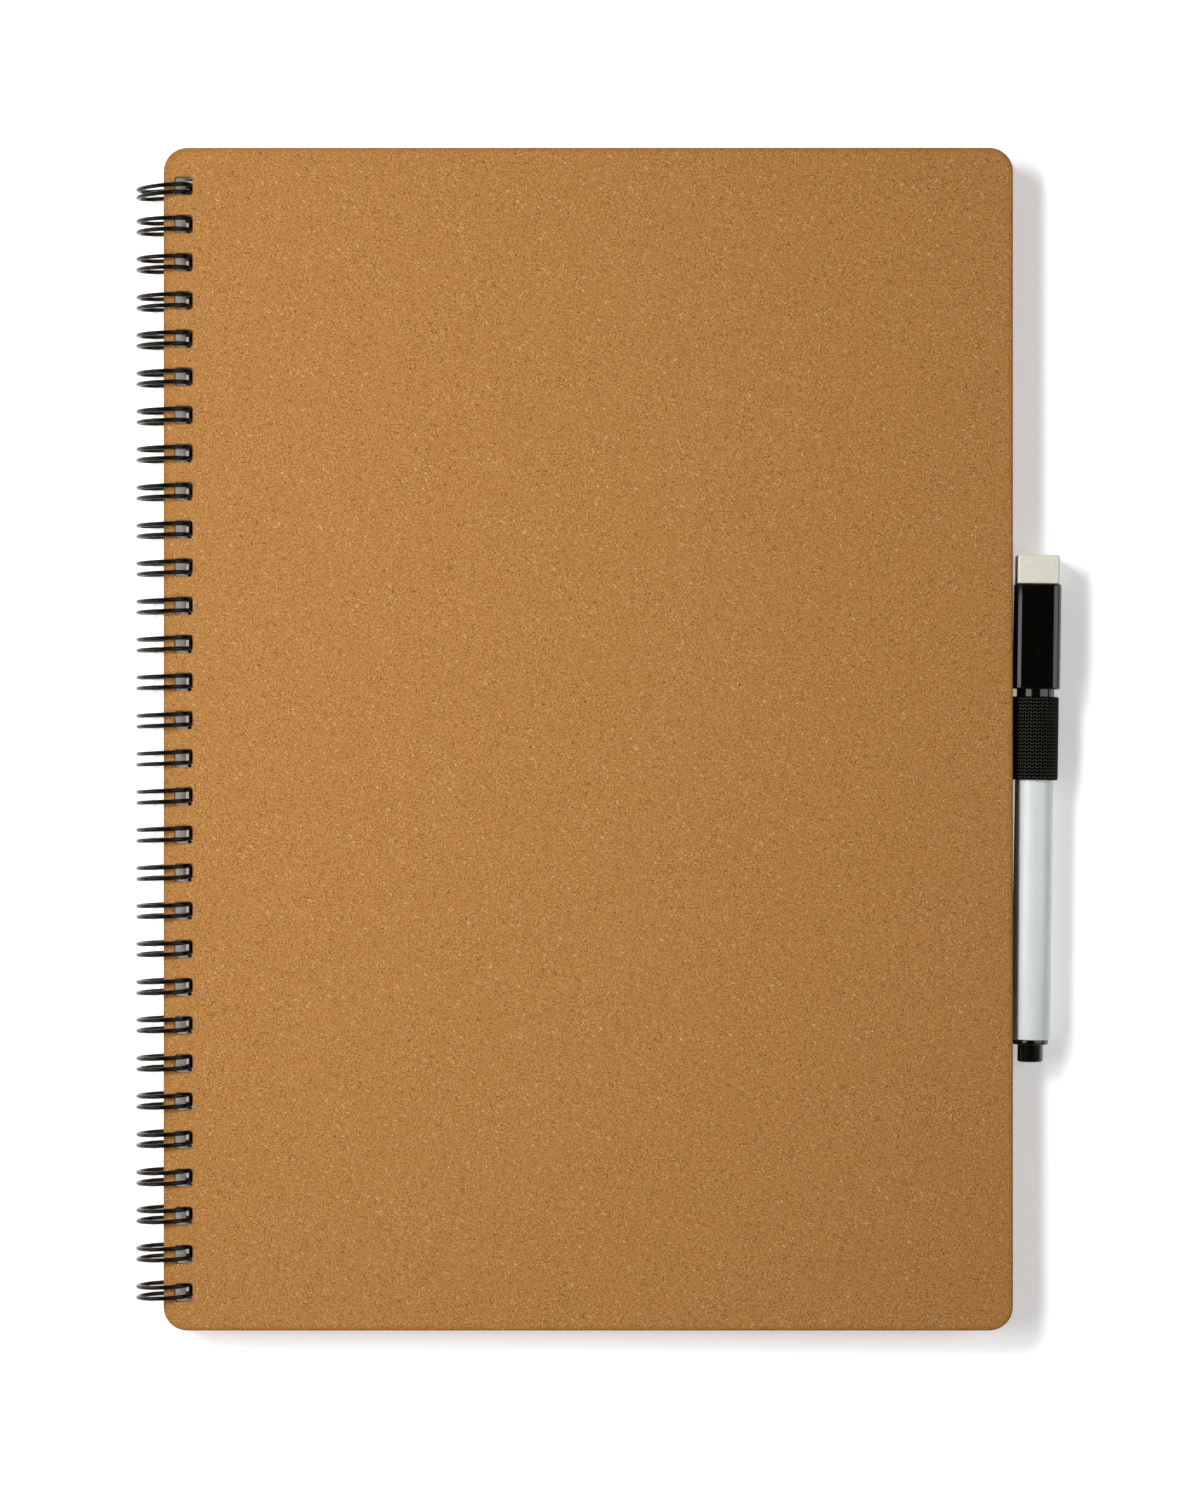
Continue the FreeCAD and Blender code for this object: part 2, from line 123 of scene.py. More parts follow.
class WireSettings(bpy.types.PropertyGroup):
    """The binding wire."""

    thickness: length("Wire", "Diameter of the coated wire", 0.95)
    spacing: length("Strand spacing", "Between the two strands of a loop", 2.42)
    bend: length("Bend", "Radius of the bends at the spine", 0.9)
    spine_angle: turn("Spine angle", "Where a strand starts on its ring", -31.5)
    tip_angle: turn("Tip angle", "Where the strands join in a U", 1.2)
    lean: turn("Lean", "How far the loops lean towards the foot of the page", 2.4)
    first_lean: turn("First lean", "How much further the knocked first loop leans", 3.4)
    first_shift: length("First shift", "How far the first loop is knocked down the page", 0.8)
    wander: length("Wander", "How unevenly the loops stand", 0.03)
    first_squeeze: level("First squeeze", "How much narrower the knocked first loop is", 0.3)


class MarkerSettings(bpy.types.PropertyGroup):
    """The marker, its cap and the felt. Stations are counted from the tail end."""

    cap_corner: length("Cap corner", "Radius of the cap's long edges", 2.1)
    cap_edge: length("Cap end edge", "Radius where the cap's ends turn", 0.5)
    mouth: length("Cap mouth", "Radius of the cap's mouth", 4.27)
    mouth_depth: length("Mouth depth", "How deep the mouth is", 8.0)
    inner: length("Cap bore", "Radius of the bore past the mouth", 3.6)
    inner_depth: length("Bore depth", "How deep the bore is", 21.8)
    stud: length("Stud", "Half width of the felt's stud", 2.8)
    stud_length: length("Stud length", "How far the stud enters the felt", 2.6)
    felt_corner: length("Felt corner", "Radius of the felt's edges", 0.45)
    fuzz: length("Felt fuzz", "Height of the felt's nap", 0.035)
    plug: length("Plug", "Radius of the end plug's grip", 2.85)
    flange: length("Flange", "Radius of the end plug's flange", 3.95)
    flange_start: length("Flange start", "Station where the flange starts", 3.9)
    barrel_tail: length("Barrel tail", "Radius of the barrel at the plug", 4.4)
    barrel_nose: length("Barrel nose", "Radius of the barrel at the collar", 4.25)
    bore: length("Barrel bore", "Radius of the barrel's bore", 3.2)
    spigot: length("Spigot", "Radius of what is pressed into the barrel", 3.18)
    collar: length("Collar", "Radius of the collar inside the cap", 4.2)
    collar_end: length("Collar end", "Station where the collar ends", 88.0)
    cone_foot: length("Cone foot", "Radius where the writing cone starts", 3.3)
    cone_nose: length("Cone nose", "Radius where the writing cone ends", 1.9)
    nib_bore: length("Nib bore", "Radius of the bore that holds the nib", 1.17)
    nib: length("Nib", "Radius of the nib", 1.15)
    nib_point: length("Nib point", "Radius of the nib's worn end", 0.45)
    barrel_tone: colour("Barrel", "The barrel's plastic", 0.64, 0.675, 0.675)
    black: colour("Black plastic", "Cap, collar and end plug", 0.0016, 0.0014, 0.0008)
    felt_tone: colour("Felt", "The eraser's pressed felt", 0.665, 0.645, 0.545)


class StrapSettings(bpy.types.PropertyGroup):
    """The woven elastic loop and the paper patch over its end."""

    sheet: length("Thickness", "Thickness of the elastic", 0.85)
    tail: length("Lower end", "How far the lower end reaches under the cover", 15.0)
    overlap: length("Upper end", "How far the upper end lies on the lower one", 3.6)
    fold: length("Fold", "Radius where an end turns into the loop", 0.7)
    column: length("Rib column", "Width of a column of slanting ribs", 0.56)
    rib: length("Rib", "From rib to rib along a column", 0.76)
    relief: length("Relief", "Height of the ribs", 0.12)
    scallop: length("Scallop", "Depth of the waves along the woven edges", 0.09)
    elastic: colour("Elastic", "The elastic's yarn", 0.0035, 0.0032, 0.0024)


class StageSettings(bpy.types.PropertyGroup):
    """Floor, lights and camera."""

    camera_height: length("Camera height", "Above the front cover", 1134)
    camera_right: length("Camera right", "Right of the cover's middle", 2.6)
    camera_down: length("Camera down", "Below the cover's middle", 2.4)
    lens: FloatProperty(name="Lens", description="Focal length", default=122.66, unit="CAMERA")
    key: level("Key", "Brightness that the main lamp gives the table", 0.5)
    left: level("Left", "Brightness that the left softbox gives the table", 0.22)
    right: level("Right", "Brightness that the right softbox gives the table", 0.14)
    strip: level("Strip", "Brightness that the strip above the rings gives the table", 0.52)
    sky: level("Sky", "Brightness of the white tent at the horizon", 0.3)
    glow: level("Glow", "Brightness of the light table's own glow", 0.35)
    floor: colour("Floor", "The pale table", 0.93, 0.93, 0.93)


GROUPS = {
    "book_board": BoardSettings,
    "book_wire": WireSettings,
    "book_marker": MarkerSettings,
    "book_strap": StrapSettings,
    "book_stage": StageSettings,
}


# ---------------------------------------------------------------- meshes


def make_object(name, points, *blocks):
    """A smooth-shaded object from an array of points and one array of faces or more."""
    mesh = bpy.data.meshes.new(name)
    faces = sum((block.tolist() for block in blocks), [])
    mesh.from_pydata(np.asarray(points, float).reshape(-1, 3).tolist(), [], faces)
    mesh.polygons.foreach_set("use_smooth", np.ones(len(mesh.polygons), bool))
    mesh.validate()
    piece = bpy.data.objects.new(name, mesh)
    bpy.context.scene.collection.objects.link(piece)
    return piece


def grid_quads(rows, columns, wrap_rows=False):
    """Four-sided faces of a grid of points numbered row by row, whose columns close round."""
    row = np.arange(rows if wrap_rows else rows - 1)[:, None]
    column = np.arange(columns)[None, :]
    row_on = (row + 1) % rows
    column_on = (column + 1) % columns
    corners = (
        row * columns + column,
        row * columns + column_on,
        row_on * columns + column_on,
        row_on * columns + column,
    )
    return np.stack(np.broadcast_arrays(*corners), -1).reshape(-1, 4)


def outward(points, quads):
    """The sign of the volume inside the quads: positive where they face outwards. It is the
    sum of the volumes of the two halves of each quad's pyramid from the middle point."""
    a, b, c, d = np.moveaxis((points - points.mean(0))[quads], 1, 0)
    return np.sum(np.cross(a, b) * c) + np.sum(np.cross(a, c) * d)


def loft(name, rings, closed=False):
    """A skin over a row of rings, an array of (rings, points, 3). Where the row isn't closed
    on itself, each end is a fan to the middle of its last ring."""
    count, around, _ = rings.shape
    points = rings.reshape(-1, 3)
    quads = grid_quads(count, around, wrap_rows=closed)
    fans = np.empty((0, 3), int)
    if not closed:
        points = np.concatenate([points, [rings[0].mean(0), rings[-1].mean(0)]])
        here = np.arange(around)
        onward = (here + 1) % around
        last = (count - 1) * around
        first_middle = np.full(around, count * around)
        first_fan = np.stack([onward, here, first_middle], -1)
        last_fan = np.stack([last + here, last + onward, first_middle + 1], -1)
        fans = np.concatenate([first_fan, last_fan])
    if outward(points, quads) < 0:
        quads, fans = quads[:, ::-1], fans[:, ::-1]
    return make_object(name, points, quads, fans)


def arc(start, end, steps):
    """Evenly spaced angles between two angles in degrees, given in radians."""
    return np.radians(np.linspace(start, end, steps))


# Which way each corner of a rectangle lies from its middle, counter-clockwise.
CORNER_SIDES = [[1, 1], [-1, 1], [-1, -1], [1, -1]]


def rounded_outline(half_x, half_y, corner, steps):
    """Points round a rectangle with arcs for corners, counter-clockwise, and the outward
    direction at each point: corner centre plus corner radius times (cos a, sin a)."""
    angle = np.concatenate([arc(90 * side, 90 * side + 90, steps) for side in range(4)])
    direction = np.stack([np.cos(angle), np.sin(angle)], -1)
    quarter = np.repeat(CORNER_SIDES, steps, axis=0)
    return quarter * (np.array([half_x, half_y]) - corner) + corner * direction, direction


def evenly(line, count, closed=True):
    """The same line with that many points, evenly spaced along its length."""
    ends = np.concatenate([line, line[:1]]) if closed else line
    run = np.concatenate([[0], np.cumsum(np.linalg.norm(np.diff(ends, axis=0), axis=1))])
    where = np.linspace(0, run[-1], count, endpoint=not closed)
    return np.stack([np.interp(where, run, ends[:, axis]) for axis in range(ends.shape[1])], -1)


def rounded_profile(corners, steps=5):
    """A line through corners given as (out, along, radius), in which an arc of that radius,
    tangent to both runs, takes the place of each corner. The arc's points turn evenly from
    the first tangent point to the second about the centre on the corner's bisector."""
    spots = np.array([corner[:2] for corner in corners], float)
    line = [spots[:1]]
    for index in range(1, len(corners) - 1):
        radius = corners[index][2]
        before, after = spots[index - 1] - spots[index], spots[index + 1] - spots[index]
        before, after = before / np.linalg.norm(before), after / np.linalg.norm(after)
        half = math.acos(np.clip(before @ after, -1, 1)) / 2
        if radius <= 0:
            line.append(spots[index : index + 1])
            continue
        bisector = before + after
        centre = spots[index] + bisector / np.linalg.norm(bisector) * radius / math.sin(half)
        begin = spots[index] + before * radius / math.tan(half) - centre
        end = spots[index] + after * radius / math.tan(half) - centre
        share, sweep = np.linspace(0, 1, steps)[:, None], math.pi - 2 * half
        swung = np.sin((1 - share) * sweep) * begin + np.sin(share * sweep) * end
        line.append(centre + swung / math.sin(sweep))
    line.append(spots[-1:])
    return np.concatenate(line)


def nap(points, shortest, longest, seed, waves=60):
    """Uneven heights, about -1 to 1, at points: the mean of many sine waves whose directions
    and wavelengths differ, times the square root of twice their number over three."""
    random = np.random.default_rng(seed)
    direction = random.normal(size=(3, waves))
    direction /= np.linalg.norm(direction, axis=0)
    pace = 2 * math.pi / random.uniform(shortest, longest, waves)
    phase = random.uniform(0, 2 * math.pi, waves)
    return np.sin(points @ (direction * pace) + phase).mean(-1) * math.sqrt(2 * waves) / 3


def float_attribute(piece, name, numbers):
    """Stores one number per point for a material to read."""
    layer = piece.data.attributes.new(name, "FLOAT", "POINT")
    layer.data.foreach_set("value", np.resize(numbers, len(piece.data.vertices)).astype(np.float32))


# ---------------------------------------------------------------- the marker's axis


def mesh_points(mesh):
    """The places of a mesh's points, one row each."""
    points = np.empty(len(mesh.vertices) * 3)
    mesh.vertices.foreach_get("co", points)
    return points.reshape(-1, 3)


def pen_span(node):
    """Where a CAD node of the marker starts and ends along the axis, from the felt's end."""
    along = (mesh_points(frame["nodes"][node].data) - PEN_TIP) @ PEN_ALONG
    return along.min(), along.max()


PEN_TAIL = PEN_TIP + pen_span("end_plug")[0] * PEN_ALONG


def stations(node):
    """Where a CAD node of the marker starts and ends, counted from the marker's tail end."""
    start, end = pen_span(node)
    tail = pen_span("end_plug")[0]
    return start - tail, end - tail


def on_pen(across, up, station):
    """Points in the row's frame from places across, above and along the marker's axis."""
    across, up, station = np.broadcast_arrays(across, up, station)
    offset = across[..., None] * PEN_ACROSS + up[..., None] * UP
    return PEN_TAIL + offset + station[..., None] * PEN_ALONG


def turned(name, corners, closed=False, segments=96):
    """A solid of revolution: each point (out, station) of the profile rounded from the
    corners goes round the marker's axis at radius out, to (out cos a, out sin a)."""
    profile = rounded_profile(corners)
    angle = np.linspace(0, 2 * math.pi, segments, endpoint=False)
    out, station = profile[:, :1], profile[:, 1:]
    return loft(name, on_pen(out * np.cos(angle), out * np.sin(angle), station), closed)


def squared(name, *sections, steps=10):
    """A skin round the marker's axis whose rings are squares with rounded corners. Each
    section is a profile of (half width, station) and its corner radius, held just under
    the half width, so that a bore's rings come out round."""
    profile = np.concatenate([section for section, _ in sections])
    corner = np.concatenate([np.full(len(section), radius) for section, radius in sections])
    corner = np.minimum(corner, 0.985 * profile[:, 0])[:, None, None]
    _, direction = rounded_outline(1, 1, 0.5, steps)
    quarter = np.repeat(CORNER_SIDES, steps, axis=0)
    outline = quarter * (profile[:, 0][:, None, None] - corner) + corner * direction
    return loft(name, on_pen(outline[..., 0], outline[..., 1], profile[:, 1:]))


# ---------------------------------------------------------------- finishes


class Finish:
    """A material under construction: nodes are added by kind and joined by their inputs."""

    def __init__(self, name, **surface):
        self.material = bpy.data.materials.new(name)
        self.material.use_nodes = True
        self.tree = self.material.node_tree
        self.shader = self.tree.nodes["Principled BSDF"]
        for socket, setting in surface.items():
            self.put(self.shader.inputs[socket.replace("_", " ")], setting)

    def put(self, socket, setting):
        """Links a node's output to a socket, or sets the socket's own number or colour."""
        if isinstance(setting, bpy.types.NodeSocket):
            self.tree.links.new(setting, socket)
        elif socket.type == "RGBA":
            socket.default_value = (*setting, 1)
        else:
            socket.default_value = setting

    def node(self, kind, inputs, **settings):
        """A shader node of that kind with its settings and inputs."""
        made = self.tree.nodes.new("ShaderNode" + kind)
        for key, setting in settings.items():
            setattr(made, key, setting)
        for key, setting in inputs.items():
            self.put(made.inputs[key], setting)
        return made

    def place(self, cell=(MM, MM, MM), degrees=0, warp=None):
        """Object coordinates counted in cells of that size, turned about the upright axis,
        after each point has moved by a warp where one is given."""
        where = self.node("TexCoord", {}).outputs["Object"]
        if warp is not None:
            where = self.node("VectorMath", {0: where, 1: warp}, operation="ADD").outputs[0]
        inputs = {"Vector": where, "Scale": cell, "Rotation": (0, 0, math.radians(degrees))}
        return self.node("Mapping", inputs, vector_type="TEXTURE").outputs[0]

    def wobble(self, cell, reach):
        """A smooth warp of up to about half that reach each way."""
        cloud = self.node("TexNoise", {"Vector": self.place((cell, cell, cell)), "Scale": 1.0})
        inputs = {0: cloud.outputs["Color"], 1: (reach,) * 3, 2: (-reach / 2,) * 3}
        return self.node("VectorMath", inputs, operation="MULTIPLY_ADD").outputs[0]

    def strokes(self, long, thin, degrees, rarity, warp):
        """Sparse strokes: Voronoi cells are stretched to a length and a width and turned,
        and the middles of a few of them are filled in."""
        where = self.place((long, thin, thin), degrees, warp)
        cells = self.node("TexVoronoi", {"Vector": where, "Scale": 1.0})
        near = self.remap(cells.outputs["Distance"], 0.14, 0.34, 1.0, 0.0)
        chosen = self.node("SeparateColor", {"Color": cells.outputs["Color"]}).outputs[0]
        return self.maths("MULTIPLY", near, self.remap(chosen, rarity, 1.0, 0.0, 1.0))

    def noise(self, where, scale, detail=2.0, roughness=0.5, distortion=0.0):
        """Cloudy noise from 0 to 1, about 0.5."""
        inputs = {
            "Vector": where, "Scale": scale, "Detail": detail,
            "Roughness": roughness, "Distortion": distortion,
        }
        return self.node("TexNoise", inputs).outputs[0]

    def maths(self, operation, *numbers):
        """One sum on one number or more."""
        return self.node("Math", dict(enumerate(numbers)), operation=operation).outputs[0]

    def remap(self, what, low, high, to_low=0.0, to_high=1.0):
        """A smooth step from one number to another as the input goes from low to high."""
        inputs = {"Value": what, 1: low, 2: high, 3: to_low, 4: to_high}
        return self.node("MapRange", inputs, interpolation_type="SMOOTHSTEP").outputs[0]

    def blend(self, share, first, second):
        """A mix of two colours."""
        inputs = {0: share, 6: first, 7: second}
        return self.node("Mix", inputs, data_type="RGBA").outputs[2]

    def bump(self, height, distance, strength, *under):
        """A normal from heights, on top of another normal where one is given."""
        inputs = {"Height": height, "Distance": distance, "Strength": strength}
        made = self.node("Bump", inputs)
        for normal in under:
            self.put(made.inputs["Normal"], normal)
        return made.outputs[0]

    def paint(self, tone, roughness, normal):
        """Joins the finished tone, roughness and normal to the shader."""
        self.put(self.shader.inputs["Base Color"], tone)
        self.put(self.shader.inputs["Roughness"], roughness)
        self.put(self.shader.inputs["Normal"], normal)
        return self.material


def shaded(tone, share):
    """A colour made darker or paler by one factor."""
    return tuple(min(1.0, channel * share) for channel in tone)


def kraft_finish(board, name, rim=True):
    """Kraft board: a fine pulp grain of dark and pale, stray fibres lying every way, sparse
    bark flecks, and painted shade that darkens the board along its rounded edges and round its holes."""
    finish = Finish(name, Specular_IOR_Level=0.15)
    where = finish.place()
    grain = finish.noise(where, 2.6, 4.0, 0.85)
    cloud = finish.noise(where, 0.09, 3.0, 0.5)
    tone = finish.blend(finish.remap(grain, 0.38, 0.62), board.kraft_dark, board.kraft_pale)
    tone = finish.blend(finish.remap(cloud, 0.3, 0.7, 0.05, 0.3), tone, board.kraft)
    warp = finish.wobble(1.1 * MM, 0.9 * MM)
    heights = grain
    for index, degrees in enumerate((8, 41, 73, 104, 139, 166)):
        pale = index % 3 == 1
        long, thin = (1.5 + 0.25 * index) * MM, (0.24 + 0.02 * index) * MM
        found = finish.strokes(long, thin, degrees, 0.8 if pale else 0.6, warp)
        depth = finish.maths("MULTIPLY", found, 0.75)
        tone = finish.blend(depth, tone, board.pale_fibre if pale else board.dark_fibre)
        heights = finish.maths("ADD", heights, depth)
    specks = (0.5, 20, 0.93, board.fleck), (0.42, 65, 0.9, board.pale_fibre)
    for size, degrees, rarity, spot in specks:
        found = finish.strokes(size * 1.5 * MM, size * MM, degrees, rarity, warp)
        tone = finish.blend(finish.maths("MULTIPLY", found, 0.9), tone, spot)
    # Painted shade: the rim attribute darkens the board along its rounded edges and round its holes.
    if rim:
        pressed = finish.node("Attribute", {}, attribute_name="rim").outputs["Fac"]
        worn = finish.maths("MULTIPLY", pressed, finish.remap(grain, 0.3, 0.7, 0.3, 0.75))
        tone = finish.blend(worn, tone, shaded(board.kraft_dark, 0.8))
    normal = finish.bump(heights, 0.00004, 0.6)
    return finish.paint(tone, finish.remap(grain, 0.3, 0.7, 0.8, 0.95), normal)


def paper_finish():
    """Smooth white paper: each leaf has a shade of its own, from its height in the block,
    over a little cloud in the pulp and a fine tooth."""
    finish = Finish("leaf_paper", Specular_IOR_Level=0.3)
    where = finish.place()
    height = finish.node("SeparateXYZ", {"Vector": where}).outputs[2]
    leaf_step = 0.19
    number = finish.maths("FLOOR", finish.maths("DIVIDE", height, leaf_step))
    shade = finish.node("TexWhiteNoise", {"W": number}, noise_dimensions="1D").outputs["Value"]
    bright, dull, pulpy = (0.88, 0.86, 0.80), (0.79, 0.765, 0.70), (0.70, 0.685, 0.64)
    tone = finish.blend(shade, bright, dull)
    pulp = finish.noise(where, 0.35, 4.0, 0.6)
    tone = finish.blend(finish.remap(pulp, 0.35, 0.7, 0.0, 0.35), tone, pulpy)
    tooth = finish.noise(where, 6.0, 3.0, 0.6)
    normal = finish.bump(tooth, 0.00001, 0.5)
    return finish.paint(tone, finish.remap(tooth, 0.3, 0.7, 0.5, 0.68), normal)


def wire_finish():
    """Nylon-coated wire: black and glossy, rippled by drawing, with duller scuffs."""
    finish = Finish("black_wire", Specular_IOR_Level=0.4, Specular_Tint=(1.0, 0.9, 0.74))
    where = finish.place()
    scuff = finish.noise(where, 0.8, 4.0, 0.65)
    coat, worn = (0.002, 0.0018, 0.0015), (0.009, 0.0078, 0.006)
    tone = finish.blend(finish.remap(scuff, 0.5, 0.75), coat, worn)
    ripple = finish.noise(where, 3.5, 2.0)
    normal = finish.bump(ripple, 0.00002, 0.2)
    return finish.paint(tone, finish.remap(scuff, 0.4, 0.75, 0.16, 0.34), normal)


def black_plastic_finish(marker, name):
    """Moulded black plastic: glossy, with the mould's slow waves, pores and handling marks."""
    finish = Finish(name, Specular_IOR_Level=0.6)
    where = finish.place()
    marks = finish.noise(finish.place((0.8 * MM, 5 * MM, 0.8 * MM)), 1.0, 4.0, 0.6)
    handled = (0.0045, 0.0035, 0.0022)
    tone = finish.blend(finish.remap(marks, 0.5, 0.8), marker.black, handled)
    waves = finish.noise(where, 0.22, 1.0)
    pores = finish.noise(where, 9.0, 2.0)
    normal = finish.bump(pores, 0.000004, 0.4, finish.bump(waves, 0.0001, 0.2))
    return finish.paint(tone, finish.remap(marks, 0.35, 0.75, 0.09, 0.15), normal)


def barrel_finish(marker):
    """Pale moulded plastic that light enters a little, with faint drawing marks along it."""
    depth = {"Subsurface_Radius": (1, 1, 1), "Subsurface_Scale": 2 * MM}
    finish = Finish("white_barrel", Subsurface_Weight=0.5, **depth)
    marks = finish.noise(finish.place((1.2 * MM, 30 * MM, 1.2 * MM)), 1.0, 2.0)
    cloud = finish.noise(finish.place(), 0.12, 2.0)
    pale = marker.barrel_tone
    tone = finish.blend(finish.remap(cloud, 0.35, 0.7), pale, shaded(pale, 0.97))
    normal = finish.bump(marks, 0.00001, 0.1)
    return finish.paint(tone, finish.remap(marks, 0.3, 0.7, 0.18, 0.25), normal)


def fibre_finish(name, pale, grain, cell=(MM, MM, MM)):
    """Pressed or wrapped fibre: matted strands of two tones, soft sheen and a fuzzy relief."""
    finish = Finish(name, Sheen_Weight=0.2, Sheen_Roughness=0.6, Specular_IOR_Level=0.15)
    mat = finish.noise(finish.place(cell), grain, 5.0, 0.7, 1.2)
    pits = finish.noise(finish.place(), 0.7, 2.0)
    tone = finish.blend(finish.remap(mat, 0.36, 0.62), shaded(pale, 0.86), shaded(pale, 1.03))
    tone = finish.blend(finish.remap(pits, 0.55, 0.75, 0.0, 0.4), tone, shaded(pale, 0.88))
    normal = finish.bump(mat, 0.0001, 0.6)
    return finish.paint(tone, finish.remap(mat, 0.3, 0.7, 0.85, 1.0), normal)


def elastic_finish(strap):
    """Black woven elastic with painted light: the ribs' tops carry a painted highlight in a paler charcoal,
    the gaps between them a painted shade that is nearly black, and the yarn's own fine fibres break both up."""
    finish = Finish("black_elastic", Specular_IOR_Level=0.06)
    rise = finish.node("Attribute", {}, attribute_name="rise").outputs["Fac"]
    fuzz = finish.noise(finish.place(), 4.0, 3.0, 0.6)
    # lit is a painted highlight for the ribs' tops and dark a painted shade for the gaps between them.
    dark, lit = shaded(strap.elastic, 0.05), shaded(strap.elastic, 22.0)
    tone = finish.blend(finish.remap(rise, 0.55, 0.98), dark, lit)
    tone = finish.blend(finish.remap(fuzz, 0.5, 0.75, 0.0, 0.5), tone, strap.elastic)
    normal = finish.bump(fuzz, 0.00004, 0.6)
    return finish.paint(tone, finish.remap(rise, 0.2, 0.9, 0.9, 0.55), normal)


def floor_finish(tone, glow):
    """A matt pale light table that glows a little, with the faintest unevenness."""
    finish = Finish(
        "table_top", Specular_IOR_Level=0.1, Emission_Color=(1, 1, 1), Emission_Strength=glow
    )
    cloud = finish.noise(finish.place((0.3, 0.3, 0.3)), 1.0, 2.0)
    painted = finish.blend(cloud, tone, shaded(tone, 0.99))
    tooth = finish.noise(finish.place(), 0.5, 2.0)
    roughness = finish.remap(cloud, 0.3, 0.7, 0.85, 0.95)
    return finish.paint(painted, roughness, finish.bump(tooth, 0.00001, 0.2))


def dress(piece, material):
    """Gives a piece or a CAD node its material in every slot."""
    slots = piece.data.materials
    if not len(slots):
        slots.append(material)
    for index in range(len(slots)):
        slots[index] = material


def install(piece, body, node, material):
    """The piece stands for a CAD node, rides on its body and takes its finish."""
    dress(piece, material)
    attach(piece, body)
    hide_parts(node)
    return piece


# ---------------------------------------------------------------- covers and leaves


def hole_places(board, low, high):
    """The middle of each hole in a row of evenly spaced ones beside the board's left edge."""
    steps = np.arange(board.hole_count) - (board.hole_count - 1) / 2
    x = low.x + board.hole_margin + board.hole_across / 2
    y = (low.y + high.y) / 2 + steps * board.hole_pitch
    return np.stack([np.full(board.hole_count, x), y], -1)


def flat_face(loops, starts, upward):
    """Triangles that fill a flat outline with holes, numbered from each loop's first point."""
    flat = [[Vector((*spot, 0)) for spot in loop] for loop in loops]
    triangles = np.array(tessellate_polygon(flat))
    numbers = np.concatenate([start + np.arange(len(loop)) for loop, start in zip(loops, starts)])
    a, b, c = np.moveaxis(np.concatenate(loops)[triangles], 1, 0)
    (ux, uy), (vx, vy) = (b - a).T, (c - a).T
    wrong = (ux * vy - uy * vx > 0) != upward
    triangles[wrong] = triangles[wrong][:, ::-1]
    return numbers[triangles]


def at_heights(spots, heights):
    """Flat places (..., rings, points, 2) lifted to one height for each ring."""
    lifted = np.broadcast_to(heights[:, None, None], (*spots.shape[:-1], 1))
    return np.concatenate([spots, lifted], -1)


def make_board(name, node, board):
    """A punched board. Its rim is the outline of a rectangle with round corners, moved in
    by each inset of an edge profile: a quarter ellipse at the top, a straight wall and a
    small round below. Each hole's wall is made the same way, moved out instead. Two flat
    faces join the rims."""
    low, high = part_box(node)
    centre = np.array([low.x + high.x, low.y + high.y]) / 2
    bend = arc(0, 90, 7)
    rise, fall = 1 - np.sin(bend), 1 - np.cos(bend)
    below = 0.15 * MM
    flat = [board.flat_start]
    inset = np.concatenate([flat, board.edge_run * rise, below * fall, flat])
    height = np.concatenate([[high.z], high.z - board.edge_drop * fall, low.z + below * rise, [low.z]])
    sides = (high.x - low.x) / 2, (high.y - low.y) / 2
    outline, direction = rounded_outline(*sides, board.corner, 12)
    spots = centre + outline - inset[:, None, None] * direction
    rings = at_heights(spots, height)

    edge, clear = board.hole_edge, board.hole_edge * 2
    gap = np.concatenate([[clear], edge * rise, edge * fall, [clear]])
    depth = np.concatenate([[high.z], high.z - edge * fall, low.z + edge * rise, [low.z]])
    hole, away = rounded_outline(board.hole_across / 2, board.hole_along / 2, board.hole_corner, 5)
    punched = hole_places(board, low, high)[:, None, None] + hole + gap[:, None, None] * away
    count, levels, around = punched.shape[:3]
    first = rings.shape[0] * rings.shape[1] + np.arange(count) * levels * around

    rim_quads = grid_quads(*rings.shape[:2])[:, ::-1]
    hole_quads = (grid_quads(levels, around) + first[:, None, None]).reshape(-1, 4)
    bottom_ring = (rings.shape[0] - 1) * rings.shape[1]
    top = flat_face([spots[0], *punched[:, 0]], [0, *first], True)
    bottom_starts = [bottom_ring, *(first + (levels - 1) * around)]
    bottom = flat_face([spots[-1], *punched[:, -1]], bottom_starts, False)
    points = np.concatenate([rings.reshape(-1, 3), at_heights(punched, depth).reshape(-1, 3)])
    piece = make_object(name, points, rim_quads, hole_quads, top, bottom)

    # How much painted shade the board's material lays on each ring: most at the outer edge, none on the flat face,
    # and somewhat less round each hole.
    rim = np.interp(inset, [0, board.edge_run * 0.4, board.flat_start], [1.0, 0.4, 0.0])
    worn = np.interp(gap, [0, edge, clear], [0.8, 0.5, 0.0])
    pressed = [np.repeat(rim, rings.shape[1]), np.tile(np.repeat(worn, around), count)]
    float_attribute(piece, "rim", np.concatenate(pressed))
    return piece


class BOOK_OT_covers(bpy.types.Operator):
    """Make the two punched kraft boards"""

    bl_idname = "book.covers"
    bl_label = "Covers"

    def execute(self, context):
        board = context.scene.book_board
        kraft = kraft_finish(board, "kraft_board")
        for node, body in (("back_cover", "binding"), ("front_cover", "front_cover")):
            install(make_board(f"{node}_board", node, board), body, node, kraft)
        return {"FINISHED"}


class BOOK_OT_leaves(bpy.types.Operator):
    """Give every punched leaf its paper"""

    bl_idname = "book.leaves"
    bl_label = "Leaves"

    def execute(self, context):
        paper = paper_finish()
        for node in LEAVES:
            dress(frame["nodes"][node], paper)
        return {"FINISHED"}


# ---------------------------------------------------------------- binding wire


